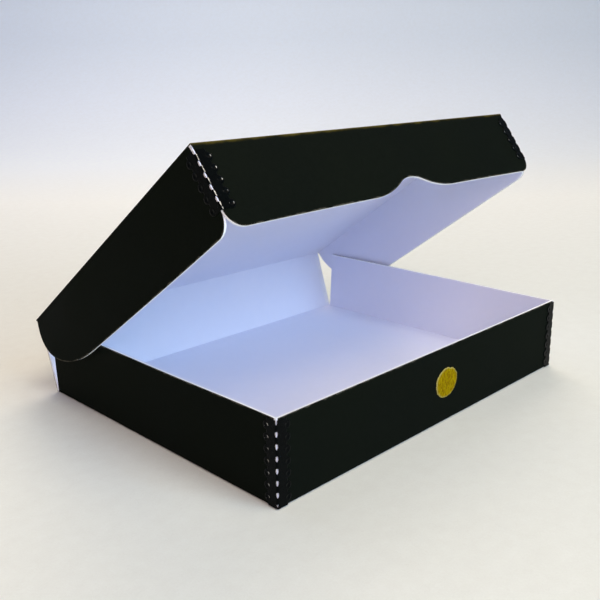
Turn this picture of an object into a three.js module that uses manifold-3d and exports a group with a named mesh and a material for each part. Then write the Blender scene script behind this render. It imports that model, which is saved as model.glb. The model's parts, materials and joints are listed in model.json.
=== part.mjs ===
// Archival box: a hinged-lid print box of lined board, black outside and white inside, standing half open.
// Tray, spine and lid are one creased sheet, and metal edges close its four front corners.
// Millimetres. +X runs right along the front, +Y to the back, +Z up.
// The origin lies on the table, at the middle of the closed tray's footprint.
import * as THREE from 'three';
import { mergeVertices } from 'three/addons/utils/BufferGeometryUtils.js';
import Module from 'manifold-3d';

const wasm = await Module();
wasm.setup();

// Tray, outside
const width = 262;
const depth = 210;
const wallHeight = 47.2;

// Lined board: black cover paper glued on a white core
const coreThick = 1.25;
const paperThick = 0.2;
const glueLine = 0.05;
const boardThick = coreThick + glueLine + paperThick;
const paperStep = paperThick + glueLine; // where a panel starts above the paper that crosses its crease
const creaseGap = 0.3; // between panels that meet at a crease or a corner
const panelInset = boardThick + creaseGap;

// Metal edges
const stripGauge = 0.35;
const stripGap = 0.2; // between strip and board
const stripOuter = stripGap + stripGauge;
const bendClearance = 0.05; // between the bend and the board's sharp corner
const stripWaist = 6.4; // a leg's reach between its teeth
const toothRadius = 2.3;
const toothPitch = 6.35;
const toothSides = 14;
const slotWidth = 2.4; // across the corner
const slotLength = 3.1;
const shortestSlot = 0.8;
const endLand = 1; // metal left between the closed end and its slot
const dimpleRadius = 1.1;
const dimpleDepth = 0.2;
const dimpleSides = 7;
const prongRadius = 0.55;
const prongLength = 0.9; // into the board
const prongRoot = 0.1; // into the strip
const prongSides = 4;
const pocketClearance = 0.3;
const trayStripFoot = 0.3; // from the table up to the tray's strip
const trayStripRimLand = 0.8; // from the strip up to the rim
const trayFirstTooth = 4.1; // from the strip's closed end
const lidStripTopLand = 4.3; // from the lid's top down to its strip
const lidStripRunOn = 1.7; // past where the flaps' corners start to round
const lidFirstTooth = 2.4;

// Closure dots: loop on the tray, hook inside the lid
const dotRadius = 10;
const dotThick = 0.5;
const dotAdhesive = 0.1;
const dotMateGap = 0.3; // between the two when the lid is closed
const dotNotchLand = 0.5; // from the notch's crown up to the dot
const dotStandoff = dotAdhesive + dotThick / 2;
const dotSides = 32;

// Spine and lid, with the room that the lid needs round the tray
const lidHeadroom = 0.4;
const sideRunning = 0.45; // between the tray's metal edges and the lid's side flaps
const sideClearance = stripOuter + sideRunning;
const frontClearance = 2 * (dotAdhesive + dotThick) + dotMateGap;
const spineHeight = wallHeight + lidHeadroom + boardThick;
const lidWidth = width + 2 * (sideClearance + boardThick);
const lidDepth = depth + frontClearance + boardThick;

// How far the box stands open, in degrees from closed
const spineLean = 17.65;
const lidLift = 17.85;

// Lid flaps
const frontFlapHeight = 4.8; // lower edge above the table, with the lid closed
const sideFlapHeight = 3.2;
const frontFlapDepth = spineHeight - frontFlapHeight;
const sideFlapDepth = spineHeight - sideFlapHeight;
const flapCornerRadius = 10;
const flapRearInset = 1;
const flapRearDrop = 5; // straight stretch under the fold, before the sweep
const flapSweepLength = 60; // along the flap's lower edge
const leftFlapSpring = 8.6; // how far the free rear end stands out
const rightFlapSpring = 3.2;
const springSteps = 8;

// Thumb notch, in line with the closure dots
const closureOffset = 6.5; // right of the middle
const notchHalfWidth = 36;
const notchDepth = 9;
const notchCrownRadius = 22;
const dotHeight = frontFlapHeight + notchDepth + dotNotchLand + dotRadius; // above the table, lid closed

// Where each kind of strip starts and how far it runs, in its panel's own height
const trayStrip = {
  closedEnd: trayStripFoot,
  length: wallHeight - trayStripFoot - trayStripRimLand,
  firstTooth: trayFirstTooth,
};
const lidStripEnd = frontFlapDepth - flapCornerRadius + lidStripRunOn;
const lidStrip = {
  closedEnd: -lidStripEnd,
  length: lidStripEnd - lidStripTopLand,
  firstTooth: lidFirstTooth,
};

const arcSteps = 8;
const bendSteps = 4;

const finishes = {
  board: { color: 0xefedf2, roughness: 0.92, metalness: 0 },
  paper: { color: 0x191c18, roughness: 0.62, metalness: 0 },
  metal: { color: 0x0c0e0e, roughness: 0.28, metalness: 0.35 },
  dot: { color: 0xa0880c, roughness: 0.75, metalness: 0 },
};

const right = new THREE.Vector3(1, 0, 0);
const back = new THREE.Vector3(0, 1, 0);
const up = new THREE.Vector3(0, 0, 1);
const left = right.clone().negate();
const forward = back.clone().negate();
const down = up.clone().negate();

// A frame from its three directions and its origin.
function frameOf(u, v, n, x = 0, y = 0, z = 0) {
  return new THREE.Matrix4().makeBasis(u, v, n).setPosition(x, y, z);
}

// The same geometry with shared corners, and with nothing kept but their places.
function welded(geometry) {
  geometry.deleteAttribute('normal');
  geometry.deleteAttribute('uv');
  return mergeVertices(geometry);
}

// Carries a welded geometry into a frame. A mirrored frame turns it inside out, so its faces are turned back.
function placed(geometry, frame) {
  geometry.applyMatrix4(frame);
  if (frame.determinant() < 0) {
    const corners = geometry.index.array;
    for (let i = 0; i < corners.length; i += 3) {
      [corners[i], corners[i + 1]] = [corners[i + 1], corners[i]];
    }
  }
  return geometry;
}

function solidOf(geometry) {
  const vertProperties = Float32Array.from(geometry.attributes.position.array);
  const triVerts = Uint32Array.from(geometry.index.array);
  return new wasm.Manifold(new wasm.Mesh({ numProp: 3, vertProperties, triVerts }));
}

function geometryOf(solid) {
  const mesh = solid.getMesh();
  const geometry = new THREE.BufferGeometry();
  geometry.setAttribute('position', new THREE.BufferAttribute(mesh.vertProperties, 3));
  geometry.setIndex(new THREE.BufferAttribute(mesh.triVerts, 1));
  return geometry;
}

function extruded(shape, thickness, curveSegments = 1) {
  return welded(new THREE.ExtrudeGeometry(shape, { depth: thickness, bevelEnabled: false, curveSegments }));
}

function rectangle(u0, u1, v0, v1) {
  const shape = new THREE.Shape();
  shape.moveTo(u0, v0);
  shape.lineTo(u1, v0);
  shape.lineTo(u1, v1);
  shape.lineTo(u0, v1);
  shape.closePath();
  return shape;
}

const box = new THREE.Group();
const spine = new THREE.Group();
spine.position.set(0, depth / 2, 0);
spine.rotation.x = THREE.MathUtils.degToRad(-spineLean);
const lid = new THREE.Group();
lid.position.set(0, 0, spineHeight);
lid.rotation.x = THREE.MathUtils.degToRad(-lidLift);
spine.add(lid);
box.add(spine);

function addPiece(parent, name, geometry, finish) {
  const shown = geometry.toNonIndexed();
  shown.computeVertexNormals();
  const mesh = new THREE.Mesh(shown, new THREE.MeshStandardMaterial(finishes[finish]));
  mesh.name = name;
  parent.add(mesh);
}

// A panel of lined board. Its outlines are drawn on the outer face, and the frame's third direction points
// through the board: paper first, then the core. Bends and prong pockets are made in both.
function addPanel(parent, name, paper, board, frame, { bend = null, pockets = [] } = {}) {
  const layers = [
    ['paper', paper, 0, paperThick],
    ['board', board, paperStep, coreThick],
  ];
  for (const [layer, outline, start, thickness] of layers) {
    let geometry = placed(extruded(outline, thickness, arcSteps).translate(0, 0, start), frame);
    if (bend) {
      bend(geometry.attributes.position);
    }
    if (pockets.length > 0) {
      geometry = geometryOf(pockets.reduce((solid, pocket) => solid.subtract(pocket), solidOf(geometry)));
    }
    addPiece(parent, `${name}_${layer}`, geometry, layer);
  }
}

// A metal edge's own frame has the board's corner along its Z axis, and the board fills its x > 0, y > 0.
// Its z runs from the strip's closed end to its open end.
const legFrames = {
  front: frameOf(right, back, up),
  side: frameOf(back, right, up),
};

function toothPlaces(strip) {
  const count = 1 + Math.floor((strip.length - strip.firstTooth - toothRadius) / toothPitch);
  return Array.from({ length: count }, (_, i) => strip.firstTooth + i * toothPitch);
}

// Slots lie half a pitch from the teeth. The one at the closed end is shortened to leave its land,
// and the one at the open end runs out of the strip.
function slotPlaces(strip) {
  const teeth = toothPlaces(strip);
  const centres = [teeth[0] - toothPitch / 2, ...teeth.map((tooth) => tooth + toothPitch / 2)];
  return centres
    .map((centre) => [Math.max(centre - slotLength / 2, endLand), centre + slotLength / 2])
    .filter(([low, high]) => high - low > shortestSlot && low < strip.length);
}

// A slot is cut by a slab with rounded ends that lies across the corner.
function slotCutter([low, high]) {
  const halfWidth = slotWidth / 2;
  const rounding = Math.min(slotWidth, high - low) / 2;
  const shape = new THREE.Shape();
  shape.absellipse(0, low + rounding, halfWidth, rounding, Math.PI, 2 * Math.PI, false);
  shape.absellipse(0, high - rounding, halfWidth, rounding, 0, Math.PI, false);
  const reach = 2 * (slotWidth + stripOuter);
  const across = right.clone().sub(back).normalize();
  const inward = right.clone().add(back).normalize();
  return solidOf(placed(extruded(shape, reach, bendSteps).translate(0, 0, -reach / 2),
    frameOf(across, up, inward)));
}

// A rod through a leg at a tooth, from one depth to another: depth 0 is the board's face.
function toothRod(nearRadius, farRadius, from, to, sides, along, frame) {
  const rod = welded(new THREE.CylinderGeometry(farRadius, nearRadius, to - from, sides));
  return solidOf(placed(rod.translate(stripWaist, (from + to) / 2, along), frame));
}

// A strip bent round the corner, with slots along the bend, round teeth on both long edges,
// and a dimple in each tooth where its prong is driven into the board.
function metalEdge(strip) {
  const bendInner = (Math.SQRT2 * stripGap - bendClearance) / (Math.SQRT2 - 1);
  const bendCentre = bendInner - stripGap;
  const section = new THREE.Shape();
  section.moveTo(stripWaist, -stripOuter);
  section.lineTo(stripWaist, -stripGap);
  section.absarc(bendCentre, bendCentre, bendInner, 1.5 * Math.PI, Math.PI, true);
  section.lineTo(-stripGap, stripWaist);
  section.lineTo(-stripOuter, stripWaist);
  section.absarc(bendCentre, bendCentre, bendInner + stripGauge, Math.PI, 1.5 * Math.PI, false);
  let solid = solidOf(extruded(section, strip.length, bendSteps));
  for (const along of toothPlaces(strip)) {
    for (const frame of Object.values(legFrames)) {
      solid = solid
        .add(toothRod(toothRadius, toothRadius, -stripOuter, -stripGap, toothSides, along, frame))
        .add(toothRod(prongRadius, 0, -stripGap - prongRoot, prongLength, prongSides, along, frame))
        .subtract(toothRod(2 * dimpleRadius, 0, -stripOuter - dimpleDepth, dimpleDepth - stripOuter,
          dimpleSides, along, frame));
    }
  }
  return geometryOf(slotPlaces(strip).reduce((cut, slot) => cut.subtract(slotCutter(slot)), solid));
}

// The pockets for the prongs of one leg, with the strip set on a corner.
function prongPockets(strip, corner, leg) {
  const frame = corner.clone().multiply(legFrames[leg]);
  return toothPlaces(strip).map((along) => toothRod(
    prongRadius + pocketClearance, pocketClearance, -stripGap, prongLength + pocketClearance,
    prongSides, along, frame,
  ));
}

// A pair of corners, left and mirrored right, for strips of one kind.
function cornersOf(strip, halfWidth, front) {
  return {
    left: frameOf(right, back, up, -halfWidth, -front, strip.closedEnd),
    right: frameOf(left, back, up, halfWidth, -front, strip.closedEnd),
  };
}

const trayCorners = cornersOf(trayStrip, width / 2, depth / 2);
const lidCorners = cornersOf(lidStrip, lidWidth / 2, lidDepth);

// Tray: the floor's paper crosses the creases, so the walls start above it.
const trayFront = -depth / 2;
const trayRear = depth / 2 - panelInset;
addPanel(
  box,
  'tray_floor',
  rectangle(-width / 2, width / 2, trayFront, trayRear),
  rectangle(panelInset - width / 2, width / 2 - panelInset, trayFront + panelInset, trayRear),
  frameOf(right, back, up),
);

const frontWall = rectangle(-width / 2, width / 2, paperStep, wallHeight);
addPanel(box, 'tray_front', frontWall, frontWall, frameOf(right, up, back, 0, trayFront, 0), {
  pockets: Object.values(trayCorners).flatMap((corner) => prongPockets(trayStrip, corner, 'front')),
});

const sideWall = rectangle(trayFront + panelInset, trayRear, paperStep, wallHeight);
addPanel(box, 'tray_left', sideWall, sideWall, frameOf(back, up, right, -width / 2, 0, 0), {
  pockets: prongPockets(trayStrip, trayCorners.left, 'side'),
});
addPanel(box, 'tray_right', sideWall, sideWall, frameOf(back, up, left, width / 2, 0, 0), {
  pockets: prongPockets(trayStrip, trayCorners.right, 'side'),
});

// Spine: it stands behind the walls when closed, and leans back on the rear fold.
const spinePanel = rectangle(-width / 2, width / 2, creaseGap, spineHeight - panelInset);
addPanel(spine, 'spine', spinePanel, spinePanel, frameOf(right, up, forward));

// Lid: its own frame starts at the spine's top fold, with the panel lying forward along -Y.
addPanel(
  lid,
  'lid_top',
  rectangle(-lidWidth / 2, lidWidth / 2, creaseGap, lidDepth),
  rectangle(panelInset - lidWidth / 2, lidWidth / 2 - panelInset, creaseGap, lidDepth - panelInset),
  frameOf(right, forward, down),
);

// The front flap's lower edge has rounded ends and a thumb notch: a crown arc that flows into the edge
// through two arcs of equal turn.
function frontFlapOutline() {
  const end = lidWidth / 2;
  const bottom = frontFlapDepth;
  const turn = 2 * Math.atan(notchDepth / notchHalfWidth);
  const shoulder = notchHalfWidth / Math.sin(turn) - notchCrownRadius;
  const quarter = Math.PI / 2;
  const shape = new THREE.Shape();
  shape.moveTo(-end, paperStep);
  shape.absarc(flapCornerRadius - end, bottom - flapCornerRadius, flapCornerRadius,
    2 * quarter, quarter, true);
  shape.absarc(closureOffset - notchHalfWidth, bottom - shoulder, shoulder, quarter, quarter - turn, true);
  shape.absarc(closureOffset, bottom - notchDepth + notchCrownRadius, notchCrownRadius,
    3 * quarter - turn, 3 * quarter + turn, false);
  shape.absarc(closureOffset + notchHalfWidth, bottom - shoulder, shoulder, quarter + turn, quarter, true);
  shape.absarc(end - flapCornerRadius, bottom - flapCornerRadius, flapCornerRadius, quarter, 0, true);
  shape.lineTo(end, paperStep);
  shape.closePath();
  return shape;
}

const frontFlap = frontFlapOutline();
addPanel(lid, 'lid_front', frontFlap, frontFlap, frameOf(right, down, back, 0, -lidDepth, 0), {
  pockets: Object.values(lidCorners).flatMap((corner) => prongPockets(lidStrip, corner, 'front')),
});

// A side flap runs forward from the spine. Its free rear end is one long sweep from fold to lower edge.
function sideFlapOutline() {
  const front = lidDepth - panelInset;
  const sweepEnd = flapRearInset + flapSweepLength;
  const lowerRun = front - flapCornerRadius - sweepEnd;
  const shape = new THREE.Shape();
  shape.moveTo(flapRearInset, paperStep);
  shape.absellipse(sweepEnd, flapRearDrop, flapSweepLength, sideFlapDepth - flapRearDrop,
    Math.PI, Math.PI / 2, true);
  for (let step = 1; step < springSteps; step += 1) {
    shape.lineTo(sweepEnd + lowerRun * step / springSteps, sideFlapDepth);
  }
  shape.absarc(front - flapCornerRadius, sideFlapDepth - flapCornerRadius, flapCornerRadius,
    Math.PI / 2, 0, true);
  shape.lineTo(front, paperStep);
  shape.closePath();
  return shape;
}

// Behind its metal edge a side flap springs outwards, by a share that grows with the square of the way back
// and with the drop below the fold.
function flapSpring(outward) {
  const held = lidDepth - stripWaist - toothRadius;
  return (places) => {
    for (let i = 0; i < places.count; i += 1) {
      const free = Math.max(0, (held + places.getY(i)) / held);
      const drop = -places.getZ(i) / sideFlapDepth;
      places.setX(i, places.getX(i) + outward * free ** 2 * drop);
    }
  };
}

const sideFlap = sideFlapOutline();
addPanel(lid, 'lid_left', sideFlap, sideFlap, frameOf(forward, down, right, -lidWidth / 2, 0, 0), {
  bend: flapSpring(-leftFlapSpring),
  pockets: prongPockets(lidStrip, lidCorners.left, 'side'),
});
addPanel(lid, 'lid_right', sideFlap, sideFlap, frameOf(forward, down, left, lidWidth / 2, 0, 0), {
  bend: flapSpring(rightFlapSpring),
  pockets: prongPockets(lidStrip, lidCorners.right, 'side'),
});

// Metal edges on the four front corners
for (const side of ['left', 'right']) {
  addPiece(box, `tray_${side}_metal_edge`, placed(metalEdge(trayStrip), trayCorners[side]), 'metal');
  addPiece(lid, `lid_${side}_metal_edge`, placed(metalEdge(lidStrip), lidCorners[side]), 'metal');
}

// Closure dots: they face each other when the lid is closed.
function dotAt(y, z) {
  const disc = new THREE.CylinderGeometry(dotRadius, dotRadius, dotThick, dotSides);
  return welded(disc).translate(closureOffset, y, z);
}

addPiece(box, 'tray_closure_dot', dotAt(trayFront - dotStandoff, dotHeight), 'dot');
addPiece(lid, 'lid_closure_dot', dotAt(boardThick + dotStandoff - lidDepth, dotHeight - spineHeight), 'dot');

export default box;
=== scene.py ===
# %% [markdown]
# # A black metal-edge archival box, standing open
# The box is one piece of creased board: a shallow tray, a spine and a lid with flaps, covered in black
# paper outside and white inside. Four stamped steel edges hold its front corners, and a round hook-and-loop
# dot closes it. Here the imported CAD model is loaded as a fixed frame, and finer pieces are laid over it.
# All sizes below are in millimetres, and become metres where a mesh is made.

# %% The frame
import json
import math

import bpy
import numpy as np
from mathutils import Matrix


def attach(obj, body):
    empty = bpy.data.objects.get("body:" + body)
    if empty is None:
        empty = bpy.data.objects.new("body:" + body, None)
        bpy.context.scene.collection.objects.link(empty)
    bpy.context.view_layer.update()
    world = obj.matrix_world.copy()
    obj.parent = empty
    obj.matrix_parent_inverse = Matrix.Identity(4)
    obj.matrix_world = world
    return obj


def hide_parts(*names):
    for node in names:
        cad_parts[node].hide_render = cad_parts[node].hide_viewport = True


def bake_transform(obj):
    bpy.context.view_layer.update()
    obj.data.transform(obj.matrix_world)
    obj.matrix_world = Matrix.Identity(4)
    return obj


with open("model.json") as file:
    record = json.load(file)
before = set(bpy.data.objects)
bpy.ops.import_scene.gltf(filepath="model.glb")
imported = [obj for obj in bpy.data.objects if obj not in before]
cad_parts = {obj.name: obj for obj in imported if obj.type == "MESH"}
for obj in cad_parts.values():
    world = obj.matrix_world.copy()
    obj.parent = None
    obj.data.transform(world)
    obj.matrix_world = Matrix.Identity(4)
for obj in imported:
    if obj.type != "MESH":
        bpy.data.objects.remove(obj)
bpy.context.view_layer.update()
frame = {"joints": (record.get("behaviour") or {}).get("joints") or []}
MM = 0.001

# %% [markdown]
# The board folds along two live creases behind the box, and the CAD's joints say where they are. A joint's
# upper limit is the turn that shuts the box, so it is also how far that crease stands open here.
#
# Board that has been folded and opened for years also takes a set. The open tray's side walls lean out, its
# front wall bows, and the lid's side flaps spring out towards the crease, where no metal edge holds them.
# A solid could be bent afterwards with a lattice or a modifier, but a set is only a small shift that grows
# down the flap, so it is added to the points before a body's turn is.

# %% Main sizes, and where the three bodies stand
tray_half, tray_length, wall_height = 131.0, 210.0, 47.2
lid_half, lid_length, spine_height = 133.5, 213.0, 49.1
front_depth, side_depth, corner_round = 44.3, 45.9, 10.0
paper, board, face_round, back_round = 0.25, 1.5, 1.0, 0.6
crease, panel_inset = board + back_round, 1.8
closure_at = 6.5
waist, tooth = 6.4, 2.3         # a metal edge's straight part, and how far its teeth reach past it
held = lid_length - waist - tooth

# The set that the board has taken: the tray's walls and front wall, then the lid's flaps.
wall_lean, front_bow, strip_from = 0.9, 0.4, 195
left_spring, right_spring, front_stand = 8.6, 3.2, 1.6

joints = {joint["name"]: joint for joint in frame["joints"]}
spine_joint, lid_joint = joints["spine_fold"], joints["lid_fold"]
rear_fold = np.array(spine_joint["pos_m"]) / MM
lid_fold = np.array(lid_joint["pos_m"]) / MM
spine_lean = math.radians(spine_joint["range_deg"][1])
lid_lean = spine_lean + math.radians(lid_joint["range_deg"][1])


def eased(t):
    """t squared times (3 - 2t), held at 0 before 0 and at 1 after 1."""
    t = np.clip(t, 0, 1)
    return t * t * (3 - 2 * t)


def stacked(*columns):
    """Numbers and arrays that fit each other, as the columns of one array of points."""
    return np.stack(np.broadcast_arrays(*columns), -1)


def leaning(x, y, z, pivot, lean):
    """The shut box's points turned back about the x axis: y' = y cos a + z sin a, z' = z cos a - y sin a."""
    forward = y * math.cos(lean) + z * math.sin(lean)
    return stacked(x, forward, z * math.cos(lean) - y * math.sin(lean)) + pivot


def carrying(place):
    """A placing function of x, y and z as one of points. Further columns, the marks, stay as they are."""
    def placed(points):
        points = np.asarray(points, float)
        return np.concatenate([place(*np.moveaxis(points[..., :3], -1, 0)), points[..., 3:]], -1)
    return placed


@carrying
def on_tray(x, s, up):
    """x across, s forward from the crease. The walls lean out behind their metal edges, by their share of the
    height, and the front wall bows by 1 - (x / half) squared."""
    share = up / wall_height
    x = x + x / tray_half * wall_lean * share * eased((strip_from - s) / 75)
    s = s + front_bow * (1 - (x / tray_half) ** 2) * share * eased((s - strip_from) / 12)
    return stacked(x, rear_fold[1] - s, up)


@carrying
def on_spine(x, s, d):
    """x across, s up the spine, d inwards from its black face."""
    return leaning(x, -d, s, rear_fold, spine_lean)


@carrying
def on_lid(x, s, down):
    """x across, s forward, down the flap. A side flap springs out by a power of its free way back, times its
    drop, and the front flap stands out a little at its left end."""
    share = np.clip((down - crease) / (side_depth - crease), 0, None)
    back = np.clip((held - s) / held, 0, None)
    x = x + x / lid_half * share * np.where(x < 0, left_spring * back ** 1.4, right_spring * back ** 2)
    s = s + front_stand * share * (lid_half - x) / (2 * lid_half) * eased((s - 140) / 73)
    return leaning(x, -s, -down, lid_fold, lid_lean)


print("the lid stands", round(math.degrees(lid_lean), 2), "degrees past upright")

# %% [markdown]
# Board, paper and stamped steel are all thin sheets. A plane with a Solidify modifier would do for a plain
# one, but here the face and the back turn round different centres at each fold. So each sheet is two grids
# of points, the face and the back, with a wall wherever the sheet ends: a closed solid with a real cut edge.
# Points carry marks after their x, y and z, such as how near a fold is, and a quad's fifth number says
# whether it is a cut edge. Both become attributes of the mesh, which the materials read.

# %% Thin solids from two grids
def outward(points, quads):
    """The sum of the quads' triple products a . (b x c) is six times the volume: where it is negative, every
    quad is turned round."""
    a, b, c, d = (points[quads[:, k], :3] for k in range(4))
    volume = (a * (np.cross(b, c) + np.cross(c, d))).sum()
    return quads if volume > 0 else quads[:, [3, 2, 1, 0, 4]]


def thin_solid(face, back, keep=None):
    """The closed solid between two point grids. A kept cell gives a quad on the face and one on the back, and
    an edge that only one kept cell has gets a wall."""
    rows, columns, width = face.shape
    points = np.concatenate([face.reshape(-1, width), back.reshape(-1, width)])
    at = np.arange(rows * columns).reshape(rows, columns)
    cells = np.stack([at[:-1, :-1], at[1:, :-1], at[1:, 1:], at[:-1, 1:]], -1)
    cells = cells.reshape(-1, 4) if keep is None else cells[keep]
    edges = np.concatenate([cells[:, [k, (k + 1) % 4]] for k in range(4)])
    _, first, count = np.unique(np.sort(edges, 1), axis=0, return_index=True, return_counts=True)
    rim = edges[first[count == 1]]
    walls = np.stack([rim[:, 1], rim[:, 0], rim[:, 0] + rows * columns, rim[:, 1] + rows * columns], 1)
    quads = np.concatenate([cells, cells[:, ::-1] + rows * columns, walls])
    cut = np.repeat([0, 1], [2 * len(cells), len(walls)])
    return points, outward(points, np.column_stack([quads, cut]))


def joined(*parts):
    """Several solids as one: points that coincide become one point, and where two solids touch, the two quads
    that lie back to back both go, so one closed skin is left."""
    points = np.concatenate([p for p, _ in parts])
    starts = np.cumsum([0] + [len(p) for p, _ in parts[:-1]])
    quads = np.concatenate([q + np.array([start] * 4 + [0]) for (_, q), start in zip(parts, starts)])
    places = np.round(points[:, :3], 4) + 0.0       # so that -0.0 and 0.0 are one place
    _, first, same = np.unique(places, axis=0, return_index=True, return_inverse=True)
    quads[:, :4] = same.reshape(-1)[quads[:, :4]]
    _, which, count = np.unique(np.sort(quads[:, :4], 1), axis=0, return_inverse=True, return_counts=True)
    quads = quads[count[which.reshape(-1)] == 1]
    used = np.unique(quads[:, :4])
    number = np.zeros(len(first), int)
    number[used] = np.arange(len(used))
    return points[first[used]], np.column_stack([number[quads[:, :4]], quads[:, 4]])


# %% From a solid to a piece
def put_mark(mesh, name, values, domain="POINT"):
    """A number for each point or face of a mesh, which a material reads by the mark's name."""
    numbers = np.ravel(values).astype(np.float32)
    mesh.attributes.new(name, "FLOAT", domain).data.foreach_set("value", numbers)


def piece(name, solid, material, marks=("fold", "edge"), sharp=35):
    """A mesh object in metres, smooth except over edges that turn by more than the sharp angle."""
    points, quads = solid
    faces = [list(dict.fromkeys(q)) for q in quads[:, :4].tolist()]
    whole = [len(f) > 2 for f in faces]
    mesh = bpy.data.meshes.new(name)
    mesh.from_pydata(points[:, :3] * MM, [], [f for f, good in zip(faces, whole) if good])
    mesh.polygons.foreach_set("use_smooth", np.ones(len(mesh.polygons), bool))
    mesh.set_sharp_from_angle(angle=math.radians(sharp))
    for k, mark in enumerate(marks):
        put_mark(mesh, mark, points[:, 3 + k])
    put_mark(mesh, "cut", quads[whole, 4], "FACE")
    mesh.materials.append(material)
    made = bpy.data.objects.new(name, mesh)
    bpy.context.scene.collection.objects.link(made)
    print(name, len(mesh.polygons), "faces")
    return made


# %% [markdown]
# The finishes are plain ones: paper, board, baked enamel on steel, and nylon pile. What makes them look real
# is that none is even. Two effects are shared as node groups. Fibres give the mottle and fine grain of
# paper at the real scale, worn turns a mark on the mesh into a broken patch, and they put out only values.
# The shaders stay in the materials, with every constant set on the shader's own socket.

# %% Helpers for shader nodes
def srgb(red, green, blue):
    """A colour as it is seen, 0 to 255 each, in linear light."""
    c = np.array([red, green, blue]) / 255
    return (*np.where(c < 0.04045, c / 12.92, ((c + 0.055) / 1.055) ** 2.4).tolist(), 1)


def node(tree, kind, inputs=None, **settings):
    """One shader node. Its settings are properties, and an input is a value or another node's output."""
    made = tree.nodes.new("ShaderNode" + kind)
    for key, value in settings.items():
        setattr(made, key, value)
    for key, value in (inputs or {}).items():
        if isinstance(value, bpy.types.NodeSocket):
            tree.links.new(value, made.inputs[key])
        else:
            made.inputs[key].default_value = value
    return made


def sums(tree, operation, a, b, clamp=False):
    return node(tree, "Math", {0: a, 1: b}, operation=operation, use_clamp=clamp).outputs[0]


def ranged(tree, value, low, high, start=0.0, end=1.0, **settings):
    """A value carried from start..end to low..high, and held at both ends."""
    return node(tree, "MapRange", {0: value, 1: start, 2: end, 3: low, 4: high}, **settings).outputs[0]


def noise(tree, where, scale, detail, distortion=0.0):
    inputs = {"Vector": where, "Scale": scale, "Detail": detail, "Distortion": distortion}
    return node(tree, "TexNoise", inputs).outputs[0]


def bump(tree, height, strength, distance):
    return node(tree, "Bump", {"Strength": strength, "Distance": distance, "Height": height}).outputs[0]


def feed(tree, shader, **sources):
    """Each source linked to the shader's input of that name."""
    for key, source in sources.items():
        tree.links.new(source, shader.inputs[key.replace("_", " ")])


def mixed(tree, share, first, second):
    """The first colour where the share is 0, the second where it is 1."""
    return node(tree, "Mix", {0: share, 6: first, 7: second}, data_type="RGBA").outputs[2]


def mark(tree, name):
    return node(tree, "Attribute", attribute_name=name).outputs["Fac"]


# %% Helpers for groups and materials
def group(name, inputs, outputs, build):
    """A node group of values. build gets the tree and its input sockets, and gives one socket per output."""
    tree = bpy.data.node_groups.new(name, "ShaderNodeTree")
    for label, value in inputs.items():
        socket = tree.interface.new_socket(label, in_out="INPUT", socket_type="NodeSocketFloat")
        socket.default_value = value
    for label in outputs:
        tree.interface.new_socket(label, in_out="OUTPUT", socket_type="NodeSocketFloat")
    sockets = build(tree, tree.nodes.new("NodeGroupInput").outputs)
    end = tree.nodes.new("NodeGroupOutput")
    for label, socket in zip(outputs, sockets):
        tree.links.new(socket, end.inputs[label])
    return tree


def use(tree, shared, **inputs):
    """A node group placed in a material, with its own values."""
    return node(tree, "Group", inputs, node_tree=shared).outputs


def finish_of(name, **constants):
    """A new material, its node tree, and its Principled shader with the given constants on its sockets."""
    made = bpy.data.materials.new(name)
    made.use_nodes = True
    shader = made.node_tree.nodes["Principled BSDF"]
    for key, value in constants.items():
        shader.inputs[key.replace("_", " ")].default_value = value
    return made, made.node_tree, shader


# %% Shared effects
def fibre_nodes(tree, given):
    """Slow cloudiness, a mottle, and short fibres from one noise stretched by another's distortion."""
    where = node(tree, "TexCoord").outputs["Object"]
    cloud = noise(tree, where, given["Cloud"], 3.0)
    mottle = noise(tree, where, given["Mottle"], 4.0)
    hair = noise(tree, where, given["Fibre"], 2.0, 2.5)
    grain = sums(tree, "ADD", sums(tree, "MULTIPLY", mottle, 0.45), sums(tree, "MULTIPLY", hair, 0.55))
    return ranged(tree, cloud, 0.0, 1.0, 0.3, 0.7), ranged(tree, grain, 0.0, 1.0, 0.3, 0.7)


fibres = group("paper fibres", {"Cloud": 16.0, "Mottle": 300.0, "Fibre": 1500.0},
               ("Tone", "Grain"), fibre_nodes)


def worn_nodes(tree, given):
    """The mark times a noise between half and one and a half, cut off softly below the threshold."""
    where = node(tree, "TexCoord").outputs["Object"]
    patch = noise(tree, where, given["Scale"], 5.0)
    broken = sums(tree, "MULTIPLY", given["Mark"], ranged(tree, patch, 0.5, 1.5, 0.3, 0.7))
    soft = ranged(tree, broken, 0.0, 1.0, given["Threshold"], 1.0, interpolation_type="SMOOTHSTEP")
    return (sums(tree, "MULTIPLY", soft, given["Amount"]),)


worn = group("worn mark", {"Mark": 0.0, "Scale": 120.0, "Threshold": 0.3, "Amount": 1.0},
             ("Mask",), worn_nodes)
print("shared effects:", [g.name for g in bpy.data.node_groups])
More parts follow.
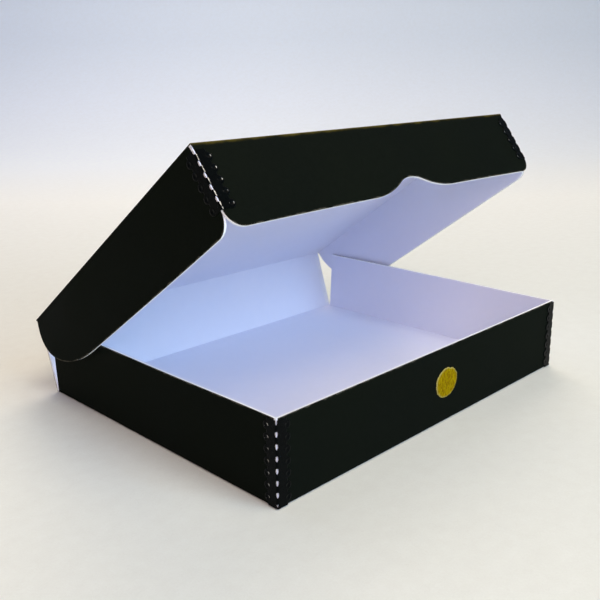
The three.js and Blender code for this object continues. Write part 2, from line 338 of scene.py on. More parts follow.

# %% [markdown]
# The cover is thin black paper, nearly matt, a little green-brown in warm light. Its folds are painted
# olive brown, partly worn by years of handling and partly a painted highlight along each fold, and its edges
# are worn to grey, which the fold and edge marks place.

# %% Black cover paper
black_cover, tree, shader = finish_of("black cover paper", Specular_IOR_Level=0.03)
tone, grain = use(tree, fibres, Cloud=14.0, Mottle=420.0, Fibre=1900.0)
colour = mixed(tree, tone, srgb(6, 11, 8), srgb(11, 16, 10))
colour = mixed(tree, sums(tree, "MULTIPLY", grain, 0.3), colour, srgb(23, 28, 22))
# painted highlight and wear: the folds turn olive brown, partly worn paper, partly a painted highlight along
# the fold
rubbed_and_highlit = use(tree, worn, Mark=mark(tree, "fold"), Scale=90.0, Threshold=0.3, Amount=0.85)[0]
colour = mixed(tree, rubbed_and_highlit, colour, srgb(84, 75, 26))
frayed = use(tree, worn, Mark=mark(tree, "edge"), Scale=240.0, Threshold=0.6, Amount=0.4)[0]
colour = mixed(tree, frayed, colour, srgb(112, 110, 98))
colour = mixed(tree, sums(tree, "MULTIPLY", mark(tree, "cut"), 0.5), colour, srgb(30, 30, 28))
rough = sums(tree, "SUBTRACT", ranged(tree, tone, 0.66, 0.78), sums(tree, "MULTIPLY", rubbed_and_highlit, 0.12))
feed(tree, shader, Base_Color=colour, Roughness=rough, Normal=bump(tree, grain, 0.3, 0.0001))

# %% [markdown]
# The board is bleached and faintly blue, matt, with long soft fibres. A painted shade darkens it in its
# creases, and it is whiter where it was cut, because a fresh cut has no skin on it.

# %% White board
white_board, tree, shader = finish_of("white board", Specular_IOR_Level=0.25)
tone, grain = use(tree, fibres, Cloud=9.0, Mottle=160.0, Fibre=1100.0)
colour = mixed(tree, tone, srgb(229, 234, 252), srgb(235, 238, 253))
colour = mixed(tree, sums(tree, "MULTIPLY", grain, 0.22), colour, srgb(218, 225, 247))
# painted shade: the board darkens in its creases
crease_shade = use(tree, worn, Mark=mark(tree, "fold"), Scale=60.0, Threshold=0.2, Amount=0.12)[0]
colour = mixed(tree, crease_shade, colour, srgb(188, 194, 222))
torn = use(tree, worn, Mark=mark(tree, "edge"), Scale=150.0, Threshold=0.2, Amount=0.8)[0]
colour = mixed(tree, torn, colour, srgb(245, 249, 255))
cut_board = mixed(tree, sums(tree, "MULTIPLY", grain, 0.5), srgb(248, 252, 255), srgb(232, 237, 244))
colour = mixed(tree, mark(tree, "cut"), colour, cut_board)
rough = ranged(tree, grain, 0.82, 0.95)
feed(tree, shader, Base_Color=colour, Roughness=rough, Normal=bump(tree, grain, 0.25, 0.00012))

# %% [markdown]
# The metal edges are thin steel strip in a black baked enamel. Enamel has a faint orange peel. Where the
# bare_and_glint mark is high, on one side of each punched seat's rim and along the bend, a pale metallic
# colour is painted in: partly steel worn through the enamel, partly a painted glint.

# %% Black enamelled steel
black_steel, tree, shader = finish_of("black enamelled steel", Specular_IOR_Level=0.04)
peel, speck = use(tree, fibres, Cloud=120.0, Mottle=700.0, Fibre=2600.0)
# bare_and_glint mask: a pale metallic paint, partly steel worn through the enamel, partly a painted glint
bare_and_glint = use(tree, worn, Mark=mark(tree, "bare_and_glint"), Scale=900.0, Threshold=0.35, Amount=0.95)[0]
colour = mixed(tree, peel, srgb(2, 4, 5), srgb(4, 7, 8))
colour = mixed(tree, bare_and_glint, colour, srgb(212, 212, 206))
rough = sums(tree, "ADD", ranged(tree, speck, 0.24, 0.34), sums(tree, "MULTIPLY", bare_and_glint, 0.12))
feed(tree, shader, Base_Color=colour, Metallic=sums(tree, "MULTIPLY", bare_and_glint, 0.55), Roughness=rough,
     Normal=bump(tree, peel, 0.12, 0.00006))

# %% [markdown]
# The closing dot is yellow nylon. On its woven ground the colour runs in diagonal streaks from amber to
# mustard, greyer at the frayed rim. The loops and hooks take a tone of their own, one by one.

# %% Yellow nylon
yellow_nylon, tree, shader = finish_of("yellow nylon pile", Specular_IOR_Level=0.03)
where = node(tree, "Mapping", {"Vector": node(tree, "TexCoord").outputs["Object"],
                               "Rotation": (0, math.radians(52), 0), "Scale": (1.0, 1.0, 0.4)}).outputs[0]
streak = ranged(tree, noise(tree, where, 1100.0, 5.0), 0.0, 1.0, 0.35, 0.65)
colour = mixed(tree, streak, srgb(112, 84, 0), srgb(168, 150, 2))
colour = mixed(tree, sums(tree, "MULTIPLY", mark(tree, "tone"), 0.5), colour, srgb(188, 160, 14))
_, speck = use(tree, fibres, Mottle=900.0, Fibre=3000.0)
pale = sums(tree, "MULTIPLY", mark(tree, "rim"), ranged(tree, speck, 0.1, 1.0), clamp=True)
colour = mixed(tree, pale, colour, srgb(174, 170, 112))
rough = ranged(tree, speck, 0.6, 0.85)
feed(tree, shader, Base_Color=colour, Roughness=rough, Normal=bump(tree, streak, 0.6, 0.0002))
print("finishes:", [m.name for m in bpy.data.materials if m.users == 0])

# %% [markdown]
# The tray and the lid are the same thing twice: a flat panel with a front flap and two side flaps, cut from
# one sheet and folded. The panel and its front flap are one grid, and each side flap is another that starts
# on the panel's last column of points. Creased board doesn't fold sharply: its face turns over about a
# millimetre, and its back gathers into a small fillet.

# %% A folded sheet
fold_turn = np.radians(np.linspace(0, 90, 7))
strip_ends, change_over = 32, 2     # how far down the lid's metal edges end, and where a flap's end changes
slant_reach = 6


def turning(depth):
    """A fold's centre and radius at a depth in the sheet: the face and the paper turn about one centre, one
    rounding down, and the back about another, beyond itself."""
    return (face_round, face_round - depth) if depth < face_round else (depth + back_round, back_round)


def fold_arc(depth):
    """A right-angled fold at a depth in the sheet: distances from the flap's outer face and below the
    panel's, c - r sin t and c - r cos t."""
    centre, radius = turning(depth)
    return centre - radius * np.sin(fold_turn), centre - radius * np.cos(fold_turn)


def near(distance, reach=1.6):
    """How near something is: e to the power of -(distance / reach) squared."""
    return np.exp(-(np.clip(distance, 0, None) / reach) ** 2)


def marked(grid, depth, half, length, room, front_fold_weight):
    """A grid's points with their fold and edge marks. A fold is where two faces meet; the front one is
    weighted by front_fold_weight and the sides by 0.4. The fold mark paints worn paper and a highlight on the
    cover, and a shade on the board. room is the way left to the sheet's free edge."""
    x, s, down = np.moveaxis(grid, -1, 0)
    side, front = (np.hypot(off, down) - math.sqrt(2) * depth for off in (half - np.abs(x), length - s))
    return np.stack([x, s, down, np.maximum(0.4 * near(side), front_fold_weight * near(front, 1.5)), near(room, 1.0)], -1)


# %% The panel with its front flap, and a side flap
def panel_and_front(depth, half, length, across, along, flap_ends, edge, falls, front_fold_weight):
    """Rows run from the crease to the front fold, round it and down the flap. Columns run across, and turn
    over the side folds. Where two folds meet, the deeper of their drops holds. flap_ends gives the flap's
    last columns as they are above the metal edge's end and as they are below it."""
    gap, drop = fold_arc(depth)
    flat = np.full(len(across), depth)
    x = np.concatenate([gap[::-1] - half, across, half - gap])
    side_drop = np.concatenate([drop[::-1], flat, drop])
    s = np.concatenate([along, length - gap])
    front_drop = np.concatenate([np.full(len(along), depth), drop])
    top = stacked(x, s[:, None], np.maximum(front_drop[:, None], side_drop))
    upper, lower = (np.concatenate([-ends[::-1], across, ends]) for ends in flap_ends)
    down = crease + (edge(upper) - crease) * falls[:, None]
    flap_x = upper + (lower - upper) * eased((down - strip_ends) / change_over)
    down = crease + (edge(flap_x) - crease) * falls[:, None]
    flap = stacked(flap_x, length - depth, down)
    room = np.concatenate([np.full(top.shape[:2], 99.0), edge(flap_x) - down])
    return marked(np.concatenate([top, flap]), depth, half, length, room, front_fold_weight)


def side_flap(depth, half, length, along, edge, falls, front_fold_weight, slant):
    """Rows run down from the side fold, columns forward. A slant cuts the rear end further in, the lower it
    is."""
    gap, drop = fold_arc(depth)
    forward = along.copy()
    forward[-1] = length - panel_inset
    down = crease + (edge(forward) - crease) * falls[:, None]
    slanted = forward + slant * (1 + 2 * down / side_depth) * near(forward - forward[0], slant_reach)
    flap = stacked(half - depth, slanted, down)
    top = stacked(half - gap[-1], along, drop[-1])[None]
    room = np.concatenate([np.full((1, len(along)), 99.0), edge(forward) - down])
    return marked(np.concatenate([top, flap]), depth, half, length, room, front_fold_weight)


# %% A whole layer
def folded_sheet(place, half, length, across, along, flap_ends, front_edge, side_edge, depths,
                 rear_gap, flap_from, front_fold_weight, slants):
    """Panel, front flap and both side flaps of one layer, from its face's depth to its back's. The panel
    leaves out the part that bends with the rear crease, and the side flaps start at flap_from."""
    falls = np.concatenate([[0.03, 0.08], np.linspace(0.16, 0.88, 9), [0.93, 0.965, 0.985, 1]])
    front = [place(panel_and_front(d, half, length, across, along, flap_ends, front_edge, falls, front_fold_weight))
             for d in depths]
    rows, columns = front[0].shape[0] - 1, front[0].shape[1] - 1
    keep = np.ones((rows, columns), bool)
    low = np.flatnonzero(along < rear_gap[0] - 1e-6)
    inner = np.flatnonzero(np.abs(across) < rear_gap[1] + 1e-6) + len(fold_turn)
    keep[np.ix_(low, inner[:-1])] = False
    flap_along = along[along > flap_from - 1e-6]
    parts = [thin_solid(*front, keep)]
    for side in (-1, 1):
        flaps = [side_flap(d, half, length, flap_along, side_edge, falls, front_fold_weight, slants[side])
                 for d in depths]
        parts.append(thin_solid(*(place(flap * (side, 1, 1, 1, 1)) for flap in flaps)))
    return joined(*parts)


# %% [markdown]
# The tray: straight walls, all of one height. The lid: rounded flap corners, a thumb notch in the front flap,
# and side flaps whose rear ends sweep up to the crease. An outline is one function of the place along a flap,
# so the face, the back and every row between them follow it.

# %% Outlines
strip_half = 3.5
notch_half, notch_deep, crown = 36.0, 9.0, 22.0
sweep_from, sweep_drop, sweep_long = 1.0, 5.0, 60.0
cut_short, cut_bow, cut_middle, cut_reach, cut_left = 0.5, 1.6, 15, 148, 0.7


print("the notch is", 2 * notch_half, "wide and", notch_deep, "deep")


def wall_top(at):
    return np.full(np.shape(at), wall_height)


def hand_cut(x):
    """The front flap isn't cut quite straight: it is a little short beyond the middle, and deepens by the
    square of the way from there, and to the left."""
    bowed = cut_bow * ((x - cut_middle) / cut_reach) ** 2
    return -cut_short + bowed + cut_left * (lid_half - x) / (2 * lid_half)


def notched_edge(x):
    """The lid's front flap: a quarter circle at each end, and a notch of two shoulders and a crown, all
    arcs."""
    end = np.clip(np.abs(x) - (lid_half - corner_round), 0, corner_round)
    edge = front_depth - corner_round + np.sqrt(corner_round ** 2 - end ** 2)
    turn = 2 * math.atan(notch_deep / notch_half)
    shoulder = notch_half / math.sin(turn) - crown
    off = np.abs(x - closure_at)
    shoulder_drop = np.sqrt(np.clip(shoulder ** 2 - (notch_half - off) ** 2, 0, None))
    on_shoulder = front_depth - shoulder + shoulder_drop
    on_crown = front_depth - notch_deep + crown - np.sqrt(np.clip(crown ** 2 - off ** 2, 0, None))
    notch = np.where(off < crown * math.sin(turn), on_crown, on_shoulder)
    return np.where(off < notch_half, notch, edge) + hand_cut(x)


def swept_edge(s):
    """A side flap's lower edge: a quarter ellipse from the crease, a straight run, and a quarter circle."""
    back = np.clip((sweep_from + sweep_long - s) / sweep_long, 0, 1)
    edge = sweep_drop + (side_depth - sweep_drop) * np.sqrt(1 - back ** 2)
    end = np.clip(s - (lid_length - panel_inset - corner_round), 0, corner_round)
    return edge - corner_round + np.sqrt(corner_round ** 2 - end ** 2)


# %% Where the points of each sheet lie
def stations(*runs):
    return np.unique(np.round(np.concatenate(runs), 6))


sweep_turn = np.radians(np.linspace(0, 90, 25))
round_turn = np.radians(np.linspace(0, 90, 13))
tray_end, lid_end = tray_half - crease, lid_half - crease
tray_across = stations(np.linspace(-124, 124, 32), [-tray_end, -127.5, -126, 126, 127.5, tray_end])
tray_along = stations([panel_inset, strip_half], np.linspace(10, 200, 24), [204, 206.3, tray_length - crease])
arc_from = math.asin(1 - crease / corner_round)
lid_ends_x = lid_half - corner_round * (1 - np.sin(np.linspace(arc_from, math.pi / 2, len(fold_turn))))
lid_round_x = lid_half - corner_round * (1 - np.sin(round_turn))
right_side = stations(lid_round_x[lid_round_x < lid_end - 0.2], [tray_half, lid_end])
lid_across = stations(-right_side, right_side, np.linspace(-120, 120, 25),
                      np.linspace(closure_at - notch_half, closure_at + notch_half, 49))
lid_along = stations([0, strip_half], sweep_from + sweep_long * (1 - np.cos(sweep_turn)),
                     np.linspace(66, 200, 14),
                     lid_length - panel_inset - corner_round * (1 - np.sin(round_turn[:-2])),
                     [lid_length - crease])
print("stations across and along:", len(tray_across), len(tray_along), "on the tray,",
      len(lid_across), len(lid_along), "on the lid")

# %% Tray and lid, each a paper cover over a board core
layers = (("cover", (0, paper), black_cover, "black_paper"),
          ("core", (paper, board), white_board, "white_core"))
cad_ends = {"cover": "paper", "core": "board"}      # what the CAD nodes of a layer end in
flap_short, flap_share = 1.25, 0.66                 # how short of its corner a front flap's paper stops
panels = ["floor", "front", "left", "right"]
for body, panel_names in (("tray", panels), ("lid", ["top"] + panels[1:])):
    for layer, depths, material, slot in layers:
        if body == "tray":      # the front flap's paper stops short of the corner, and its board end shows
            ends = np.linspace(tray_end, tray_half - (flap_short if layer == "cover" else 0), len(fold_turn))
            solid = folded_sheet(on_tray, tray_half, tray_length, tray_across, tray_along, (ends, ends),
                                 wall_top, wall_top, depths, rear_gap=(strip_half, tray_end),
                                 flap_from=panel_inset, front_fold_weight=0.35, slants={-1: 0, 1: 0.9})
        else:
            ends = lid_end + (lid_ends_x - lid_end) * (flap_share if layer == "cover" else 1)
            solid = folded_sheet(on_lid, lid_half, lid_length, lid_across, lid_along, (ends, lid_ends_x),
                                 notched_edge, swept_edge, depths, rear_gap=(strip_half, tray_half),
                                 flap_from=sweep_from, front_fold_weight=1.0, slants={-1: 0, 1: 0})
        made = piece(f"{body}_{layer}", solid, material)
        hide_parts(*[f"{body}_{name}_{cad_ends[layer]}" for name in panel_names])
        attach(made, body)

# %% [markdown]
# The spine is flat, and each live crease is a strip of its own that blends from one body to the next, as
# creased board does: the points before the bend follow one panel, those after it the other, and the few
# between share the turn. One rigid crease would tear open at every other angle.

# %% The spine and the two live creases
spine_across = np.linspace(-tray_half, tray_half, 34)
spine_up = np.linspace(strip_half, spine_height - strip_half, 9)
crease_lead = np.array([3.5, 2.9, 2.3, panel_inset])
crease_across = stations([-tray_half, -tray_end, tray_end, tray_half], np.linspace(-124, 124, 32))


def flat_layer(depth):
    """The spine's points at a depth in the board, with an edge mark at both ends."""
    room = tray_half - np.abs(spine_across)
    return on_spine(stacked(spine_across, spine_up[:, None], depth, 0, near(room, 1.0)))


def live_crease(pivot, heading, turn, depth):
    """A bend of any turn, seen along x. heading is the way into it. It turns about the centres that a fold
    has, below both faces, and straight runs lead in and out."""
    centre, radius = turning(depth)
    ways = [np.array([math.cos(a), math.sin(a)]) for a in (heading, heading + turn)]
    (way, out), (inward, out_inward) = ways, [np.array([-w[1], w[0]]) for w in ways]
    arc = np.linspace(0, turn, 9)[:, None]
    middle = centre * (inward - math.tan(turn / 2) * way)
    rows = np.concatenate([depth * inward - crease_lead[:, None] * way,
                           middle + radius * (np.sin(arc) * way - np.cos(arc) * inward),
                           depth * out_inward + crease_lead[::-1, None] * out]) + pivot[1:]
    off = np.concatenate([crease_lead, np.zeros(len(arc)), crease_lead[::-1]]) - 1
    room = tray_half - np.abs(crease_across)
    # the fold mark: worn paper and a painted highlight on the cover, a painted shade on the board
    fold_mark = 0.6 * near(off)[:, None]
    return stacked(crease_across, rows[:, :1], rows[:, 1:], fold_mark, near(room, 1.0))


# %% Spine and crease pieces
folds = {
    "rear": (rear_fold, 0.0, math.pi / 2 - spine_lean, "tray", "spine"),
    "top": (lid_fold, math.pi / 2 - spine_lean, math.pi / 2 - (lid_lean - spine_lean), "spine", "lid"),
}
for layer, depths, material, slot in layers:
    panel = piece("spine_" + layer, joined(thin_solid(*(flat_layer(d) for d in depths))), material)
    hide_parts("spine_" + cad_ends[layer])
    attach(panel, "spine")
    for name, (pivot, heading, turn, before, after) in folds.items():
        grids = [live_crease(pivot, heading, turn, d) for d in depths]
        keep = np.ones((grids[0].shape[0] - 1, len(crease_across) - 1), bool)
        if name == "rear":
            keep[:3, [0, -1]] = False
        strip = piece(f"{name}_crease_{layer}", joined(thin_solid(*grids, keep)), material)
        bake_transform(strip)

# %% [markdown]
# Each front corner is held by a stamped steel edge, folded round the corner. Slots along its bend show the
# white end of the front board. Each round tooth has a punched seat, dished in with a raised rim, where its
# prong goes through the board. The strip is one grid that is pulled open at the slots and out at the teeth,
# so the holes and the scalloped edge are real ones, and only its height is laid out unevenly.

# %% Metal edges
gauge, stand_off, pitch = 0.35, 0.2, 6.35
slot_wide, slot_long, end_land = 2.4, 3.1, 1.0
bend_in = (math.sqrt(2) * stand_off - 0.05) / (math.sqrt(2) - 1)
bend_at = bend_in - stand_off
arm = bend_in + gauge
seat, rim_at = 1.3, 1.5


def bent_leg(p, depth):
    """A leg's section: p along the metal from the bend's middle, depth below its face. An eighth turn about
    the bend's centre, then straight. The board fills x > 0, y > 0."""
    eighth = arm * math.pi / 4
    angle = 1.25 * math.pi + np.clip(p, 0, eighth) / arm
    x = bend_at + (arm - depth) * np.cos(angle) + np.clip(p - eighth, 0, None)
    return x, bend_at + (arm - depth) * np.sin(angle)


def slots_and_heights(length, teeth):
    """The slots' lower and upper ends, and the rows' heights: evenly spaced, and closer where a slot rounds
    off."""
    centres = np.concatenate([[teeth[0] - pitch / 2], teeth + pitch / 2])
    low, high = np.maximum(centres - slot_long / 2, end_land), centres + slot_long / 2
    real = (high - low > 0.8) & (low < length)
    low, high = low[real], high[real]
    ease = 0.5 - 0.5 * np.cos(np.linspace(0, math.pi, 13))
    in_slots = low[:, None] + ease * (high - low)[:, None]
    heights = stations(np.linspace(0, length, int(length / 0.24)), in_slots.ravel())
    heights = heights[heights <= length]
    return low, high, np.concatenate([heights[:-1][np.diff(heights) > 0.02], heights[-1:]])


# %% One metal edge
def metal_edge(length, first, openings, wear_and_glint):
    """Half the strip as a grid of heights by shares of the way across, from the slot or the bend's middle out
    to the scalloped edge, then the other half as its mirror image. A slot opens by the root of 1 - t squared
    towards its ends, and a tooth is a circle's lobe. A seat dips by the square of 1 - (r / seat) squared, and
    its rim is raised by a bell of r. The bare_and_glint mark is high round one side of each seat's rim and on
    the bend between two slots: partly steel worn through the enamel, partly a painted glint.
    openings: how far the lowest slot, the last one and those between them open each way.
    wear_and_glint: how strongly that mark is painted on the front leg, the side leg and the bend, and the side
    of a seat where the glint is painted, in degrees from its outer side."""
    teeth = first + pitch * np.arange(1 + int((length - first - tooth) / pitch))
    low, high, heights = slots_and_heights(length, teeth)
    z = heights[:, None]
    rounding = np.minimum(slot_wide, high - low) / 2
    past = np.maximum(low + rounding - z, z - (high - rounding)).clip(0, None)
    opening = np.full(len(low), openings[2])
    opening[[0, -1]] = openings[:2]
    start = (opening * np.sqrt(np.clip(1 - (past / rounding) ** 2, 0, None))).max(1)
    near_tooth = np.abs(z - teeth).argmin(1)
    off = np.abs(heights - teeth[near_tooth])
    edge = waist + np.sqrt(np.clip(tooth ** 2 - off ** 2, 0, None)) + arm * math.pi / 4 - bend_at
    share = np.concatenate([np.linspace(0, 0.3, 8), np.linspace(0.35, 1, 27)])
    p = start[:, None] + (edge - start)[:, None] * share
    along = p - arm * math.pi / 4 + bend_at - waist
    radius = np.hypot(along, off[:, None])
    dish = 0.24 * np.clip(1 - (radius / seat) ** 2, 0, 1) ** 2
    rim = 0.07 * near(np.abs(radius - rim_at), 0.25)
    rolled = 0.16 * np.clip(1 - (edge[:, None] - p) / 0.5, 0, 1) ** 2
    # painted glint: a bright lobe on one side of each seat's edge, at the angle given, and a line along the
    # bend between slots
    toward = np.radians(wear_and_glint[3])
    up_tooth = z - teeth[near_tooth][:, None]
    outer = (along * math.cos(toward) + up_tooth * math.sin(toward)) / np.maximum(radius, 0.2)
    glint = near(np.abs(radius - seat), 0.26) * np.where(outer > 0, outer ** 4, 0.5 * outer ** 6)
    ridge = near(np.abs(p - 0.5), 0.26) * (start[:, None] < 0.01)
    halves = []
    for side_leg in (False, True):
        grids = []
        for depth in (dish + rolled - rim, gauge + np.minimum(dish, 0.15)):
            x, y = bent_leg(p, depth)
            bare_and_glint = wear_and_glint[side_leg] * glint + wear_and_glint[2] * ridge * (not side_leg)
            grids.append(stacked(*((y, x) if side_leg else (x, y)), z, bare_and_glint))
        halves.append(thin_solid(*grids))
    return joined(*halves)


# %% Four metal edges
# For each body: the strip's length, its first tooth, its slots' openings, and its worn steel and painted
# glints. Then where it goes: how the body's points are placed, the corner, and the strip's foot and the way
# up from it.
tray_strip_foot, lid_strip_end = 0.3, front_depth - corner_round + 1.7
strips = {
    "tray": (wall_height - tray_strip_foot - 0.8, 4.1, (1.3, 0.7, 1.1), (0.5, 1.15, 0, 145),
             on_tray, tray_half, tray_length, tray_strip_foot, 1),
    "lid": (lid_strip_end - 4.3, 2.4, (1.4, 1.5, 1.4), (1.0, 0.3, 1.1, 0),
            on_lid, lid_half, lid_length, lid_strip_end, -1),
}
for side, sign in (("left", -1), ("right", 1)):
    for body, (length, first, openings, wear_and_glint, place, half, to_front, foot, way) in strips.items():
        points, quads = metal_edge(length, first, openings, wear_and_glint)
        x, y, z, bare_and_glint = points.T
        there = place(np.stack([sign * (half - x), to_front - y, foot + way * z, bare_and_glint], -1))
        solid = there, outward(there, quads)
        made = piece(f"{body}_{side}_steel_edge", solid, black_steel, ["bare_and_glint"])
        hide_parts(f"{body}_{side}_metal_edge")
        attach(made, body)

# %% [markdown]
# The closure is a round dot of loop pile on the tray and one of hooks inside the lid's front flap. Each is a
# woven pad, with a ragged rim where the die tore it, and hundreds of fine nylon threads: arches for the
# loops, crooks for the hooks. A particle system would hang them on the pad, but here they are one mesh, three
# sides to a thread, so they go with the part.

# %% A woven pad
dot_radius, dot_thick, rim_thick, dot_height = 10.0, 0.45, 0.12, 24.3
dot_shift, dot_stretch = (-0.6, 0.4), (1.06, 0.95)


def woven_pad(radius, thick, seed):
    """Rings by spokes. The rim's radius wanders by a sum of waves and is bitten in at the top; the pad's face
    lies at its thickness, ribbed both ways, and rounds off over the last tenth."""
    angle = np.linspace(0, 2 * math.pi, 145)
    phases = np.random.default_rng(seed).uniform(0, 2 * math.pi, 9)
    waves = np.array([3, 5, 8, 13, 17, 23, 31, 37, 47])
    heights = np.array([.10, .08, .07, .08, .07, .07, .08, .06, .06])
    wander = (heights[:, None] * np.cos(waves[:, None] * angle + phases[:, None])).sum(0)
    bite = 0.9 * near(np.abs(angle - math.radians(72)), 0.12)
    reach = radius - 0.25 + 0.9 * wander - bite
    share = np.concatenate([np.linspace(0, 0.88, 23), [0.91, 0.94, 0.965, 0.985, 1.0]])[:, None]
    u, v = share * reach * np.cos(angle), share * reach * np.sin(angle)
    rib = 0.04 * np.cos(2 * math.pi * (u + v) / 1.1) * np.cos(2 * math.pi * (u - v) / 1.5)
    rounding = np.sqrt(np.clip(1 - np.clip((share - 0.9) / 0.1, 0, 1) ** 2, 0, None))
    top = rim_thick + (thick - rim_thick) * rounding + rib * (share < 0.95)
    rim = np.broadcast_to(eased((share - 0.9) / 0.06), u.shape)
    grids = [stacked(u, v, h, 0.25, rim) for h in (top, 0.0)]
    return joined(thin_solid(*grids))


# %% Threads
def threads(paths, across, thick, tone):
    """Three-sided tubes along many paths at once: each ring is the path's point plus the thread's radius
    times cos of the across way and sin of the way square to it and to the path. A triangle closes each end."""
    count, steps = paths.shape[:2]
    way = np.gradient(paths, axis=1)
    other = np.cross(way, across[:, None])
    other /= np.linalg.norm(other, axis=-1, keepdims=True)
    turn = np.radians([90, 210, 330])
    section = np.cos(turn)[:, None] * across[:, None, None] + np.sin(turn)[:, None] * other[:, :, None]
    rings = paths[:, :, None] + thick * section
    at = np.arange(count * steps * 3).reshape(count, steps, 3)
    a, b = at[:, :-1], at[:, 1:]
    sides = np.stack([a, np.roll(a, -1, 2), np.roll(b, -1, 2), b], -1).reshape(-1, 4)
    ends = np.concatenate([at[:, 0, ::-1], at[:, -1]])
    quads = np.concatenate([sides, np.column_stack([ends, ends[:, 0]])])
    marks = np.broadcast_to(np.stack([tone, np.zeros(count)], -1)[:, None, None], (*rings.shape[:3], 2))
    points = np.concatenate([rings, marks], -1).reshape(-1, 5)
    return points, outward(points, np.column_stack([quads, np.zeros(len(quads), int)]))


# %% Loops and hooks
def loops(radius, base, seed):
    """Arches with their feet in the pad: span w along a way e, height h times the sine of the way along. The
    ways keep to one diagonal, give or take."""
    draw = np.random.default_rng(seed)
    count = 760
    r, a = radius * np.sqrt(draw.uniform(0, 1, count)), draw.uniform(0, 2 * math.pi, count)
    way = np.radians(55) + draw.normal(0, 0.75, count)
    span, rise = draw.uniform(0.5, 1.3, count), draw.uniform(0.12, 0.3, count)
    e = np.stack([np.cos(way), np.sin(way), np.zeros(count)], -1)
    t = np.linspace(0, 1, 6)[None, :, None]
    foot = np.stack([r * np.cos(a), r * np.sin(a), np.full(count, base - 0.05)], -1)[:, None]
    lift = [0, 0, 1] * rise[:, None, None] * np.sin(math.pi * t)
    paths = foot + e[:, None] * span[:, None, None] * (t - 0.5) + lift
    return threads(paths, np.cross(e, [0, 0, 1.0]), 0.045, draw.uniform(0, 1, count))


def hooks(radius, base, seed):
    """Crooks in staggered rows: straight up, then a half circle over to one side."""
    draw = np.random.default_rng(seed)
    u, v = np.meshgrid(np.arange(-radius, radius, 1.05), np.arange(-radius, radius, 0.9))
    u = u + 0.5 * (np.arange(len(u)) % 2)[:, None]
    inside = np.hypot(u, v) < radius - 0.8
    u, v = u[inside], v[inside]
    count, turn = len(u), np.concatenate([[0, 0], np.linspace(0, 190, 6)[1:]])
    side = np.where(draw.uniform(0, 1, count) < 0.5, -1.0, 1.0)
    bend = 0.13
    up = np.concatenate([[-0.05, 0.2], 0.2 + bend * np.sin(np.radians(turn[2:]))])
    over = bend * (1 - np.cos(np.radians(turn)))
    lean = draw.normal(0, 0.04, (count, 1))
    paths = stacked(u[:, None] + side[:, None] * over + lean * up, v[:, None], base + up)
    across = np.broadcast_to([0.0, 1.0, 0.0], (count, 3))
    return threads(paths, across, 0.05, draw.uniform(0, 1, count))


# %% The two dots
def on_front_wall(u, v, h):
    """The loop dot faces forward: u across, v up the wall, h out from its paper. It was stuck on a little off
    its place, and drawn out sideways as it was pressed."""
    return np.stack([closure_at + dot_shift[0] + dot_stretch[0] * u, tray_length + h,
                     dot_height + dot_shift[1] + dot_stretch[1] * v], -1)


def in_front_flap(u, v, h):
    """The hook dot faces back at it from the flap's white inside."""
    return np.stack([closure_at + u, lid_length - board - h, spine_height - dot_height + v], -1)


dots = (("tray", on_front_wall, on_tray, "loops", loops(dot_radius - 0.7, dot_thick, 11)),
        ("lid", in_front_flap, on_lid, "hooks", hooks(dot_radius - 0.4, dot_thick, 12)))
for body, lay, place, thread_name, thread_solid in dots:
    pad = woven_pad(dot_radius, dot_thick, 5)
    for part, (points, quads) in (("pad", pad), (thread_name, thread_solid)):
        there = place(carrying(lay)(points))
        solid = there, outward(there, quads)
        made = piece(f"{body}_closure_dot_{part}", solid, yellow_nylon, ["tone", "rim"])
        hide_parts(f"{body}_closure_dot")
        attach(made, body)

# %% [markdown]
# The studio is a pale seamless sweep: a floor that turns up into a backdrop behind the box, a sheet carried
# along a quarter circle. Marks on its points say how it is painted, and the paint holds painted light and
# shade: nearly white round the box, bluer and greyer up the backdrop, and a little darker to the right than
# to the left, all a painted falloff of the light, and a little paler in a patch at the box's near corner, a
# painted patch of light. Far off, and behind the camera, it fades to the room's colour, for the camera alone,
# so that no dark edge shows from the sides. The sweep isn't part of the object.

# %% The sweep
sweep_turns_at, sweep_radius, view_turn = 1.2, 0.8, math.radians(45)
floor_gap = 0.0003                              # so that the floor and the box's underside share no plane
# light_pool_at and light_pool_reach: where a painted patch of light lies, at the box's near corner, and how
# far it reaches
light_pool_at, light_pool_reach, right_reach = (-0.16, -0.14), 0.24, 0.35
fade_from, fade_behind, fade_long = 2.5, 0.7, 0.8
fine_run = np.linspace(-0.6, 0.6, 49)
over, out = np.meshgrid(stations(np.linspace(-5, 5, 41), fine_run),
                        stations(np.linspace(-6, 3.2, 93), fine_run))
rise = np.clip((out - sweep_turns_at) / sweep_radius, 0, math.pi / 2)
beyond = np.clip(out - sweep_turns_at - sweep_radius * math.pi / 2, 0, None)
away = np.minimum(out, sweep_turns_at) + sweep_radius * np.sin(rise)
height = sweep_radius * (1 - np.cos(rise)) + beyond - floor_gap
toward = np.array([math.sin(view_turn), math.cos(view_turn)])
side = np.array([math.cos(view_turn), -math.sin(view_turn)])
ground = np.concatenate([over[..., None] * side + away[..., None] * toward, height[..., None]], -1)
at = np.arange(over.size).reshape(over.shape)
cells = np.stack([at[:-1, :-1], at[:-1, 1:], at[1:, 1:], at[1:, :-1]], -1).reshape(-1, 4)
floor_mesh = bpy.data.meshes.new("sweep")
floor_mesh.from_pydata(ground.reshape(-1, 3), [], cells.tolist())
floor_mesh.polygons.foreach_set("use_smooth", np.ones(len(floor_mesh.polygons), bool))
put_mark(floor_mesh, "up_the_sweep", out)
from_light_pool = np.hypot(ground[..., 0] - light_pool_at[0], ground[..., 1] - light_pool_at[1])
put_mark(floor_mesh, "light_pool", near(from_light_pool, light_pool_reach))
put_mark(floor_mesh, "far_off", np.maximum(eased((np.hypot(over, out) - fade_from) / fade_long),
                                           eased((-out - fade_behind) / fade_long)))
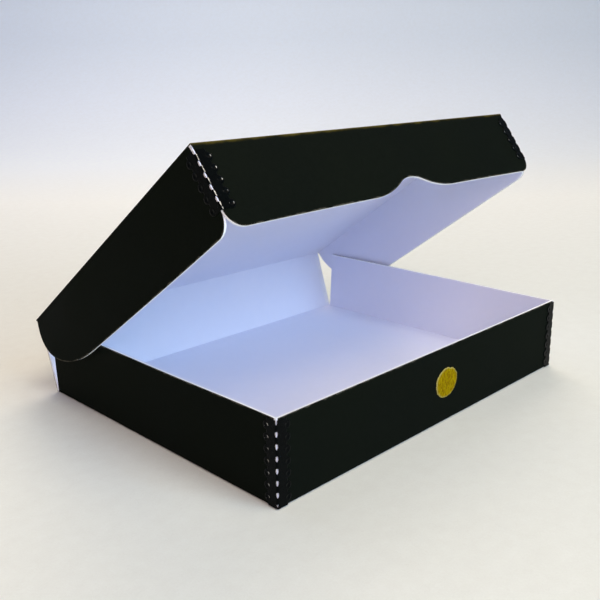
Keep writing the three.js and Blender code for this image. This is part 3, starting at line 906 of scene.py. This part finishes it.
put_mark(floor_mesh, "to_the_right", over / (right_reach + np.abs(over)))
floor = bpy.data.objects.new("sweep", floor_mesh)
bpy.context.scene.collection.objects.link(floor)

# %% The sweep's paint
room_colour = srgb(216, 221, 232)
pale_sweep, tree, shader = finish_of("pale sweep", Specular_IOR_Level=0.1, Roughness=0.9)
# painted falloff of light: the ramp runs from nearly white round the box to bluer and greyer up the backdrop
ramp = node(tree, "ValToRGB", {"Fac": ranged(tree, mark(tree, "up_the_sweep"), 0.0, 1.0, -1.0, 3.0)})
stops = {0.30: (226, 232, 229), 0.435: (241, 247, 247), 0.567: (234, 245, 255),
         0.66: (221, 234, 251), 0.72: (209, 224, 243)}
for _ in range(len(stops) - 2):
    ramp.color_ramp.elements.new(0.5)
for stop, (at_share, seen) in zip(ramp.color_ramp.elements, stops.items()):
    stop.position, stop.color = at_share, srgb(*seen)
_, grain = use(tree, fibres, Mottle=110.0, Fibre=420.0)
# painted light: a little paler in a patch round the box's near corner
colour = mixed(tree, mark(tree, "light_pool"), ramp.outputs[0], srgb(230, 236, 232))
colour = mixed(tree, sums(tree, "MULTIPLY", grain, 0.16), colour, srgb(186, 184, 178))
# painted shade: the sweep is a tenth darker to the right
level = sums(tree, "SUBTRACT", 1.0, sums(tree, "MULTIPLY", mark(tree, "to_the_right"), 0.1))
paint = node(tree, "VectorMath", {0: colour, "Scale": level}, operation="SCALE").outputs[0]
feed(tree, shader, Base_Color=paint)
shown = sums(tree, "MULTIPLY", mark(tree, "far_off"), node(tree, "LightPath").outputs["Is Camera Ray"])
haze = node(tree, "Emission", {"Color": room_colour}).outputs[0]
both = node(tree, "MixShader", {0: shown, 1: shader.outputs[0], 2: haze}).outputs[0]
tree.links.new(both, tree.nodes["Material Output"].inputs["Surface"])
floor_mesh.materials.append(pale_sweep)
print("the sweep rises", round(float(height.max()), 2), "m")

# %% [markdown]
# Soft light, from six large square lamps, kept low enough that the white board doesn't clip when the box is
# wide open. A warm one behind the right corner throws the short shadow, and a warm one in front on the left,
# with a small rosy one under it, fills it. A blue one in front stands for a window, a warm one overhead
# lights the tray, and a faint blue one stands high behind. None is seen by the camera.

# %% Lamps and the room
def softbox(name, at, size, power, colour):
    lamp = bpy.data.lights.new(name, "AREA")
    lamp.shape, lamp.size, lamp.energy, lamp.color = "SQUARE", size, power, colour
    made = bpy.data.objects.new(name, lamp)
    bpy.context.scene.collection.objects.link(made)
    made.location = at
    aim = -np.array(at)
    tilt = math.acos(-aim[2] / np.linalg.norm(aim))
    made.rotation_euler = (tilt, 0, math.atan2(aim[1], aim[0]) - math.pi / 2)
    made.visible_camera = False


softbox("behind right", (1.3, 1.2, 1.7), 1.4, 33.6, (1.0, 0.81, 0.62))
softbox("front left", (-1.3, -1.4, 1.4), 1.4, 21.3, (1.0, 0.78, 0.74))
softbox("low on the left", (-1.3, -1.4, 0.42), 0.8, 2.9, (1.0, 0.72, 0.88))
softbox("front", (0.3, -2.0, 1.0), 1.2, 30.3, (0.53, 0.77, 1.0))
softbox("overhead", (0.1, -0.85, 2.1), 1.4, 24.6, (1.0, 0.87, 0.66))
softbox("high behind", (0.0, 1.6, 1.8), 1.4, 6.6, (0.60, 0.67, 1.0))

room = bpy.data.worlds.new("room")
room.use_nodes = True
tree = room.node_tree
rays = node(tree, "LightPath").outputs
shown = sums(tree, "ADD", rays["Is Camera Ray"], sums(tree, "MULTIPLY", rays["Is Glossy Ray"], 0.35))
background = tree.nodes["Background"]
background.inputs["Color"].default_value = room_colour
tree.links.new(sums(tree, "ADD", shown, rays["Is Transmission Ray"]), background.inputs["Strength"])
bpy.context.scene.world = room
print("lamps:", [lamp.name for lamp in bpy.data.lights])

# %% [markdown]
# The camera stands where the photograph was taken from: in front, to the left, low, with a normal lens.

# %% Camera
camera = bpy.data.objects.new("camera", bpy.data.cameras.new("camera"))
bpy.context.scene.collection.objects.link(camera)
camera.data.lens, camera.data.sensor_width = 47.706, 36
camera.location = (-0.360437, -0.351501, 0.204062)
camera.rotation_euler = [math.radians(a) for a in (73.51709, 0.67626, -45.14833)]
camera.data.clip_start = 0.01
bpy.context.scene.camera = camera
bpy.context.scene.view_settings.view_transform = "Standard"
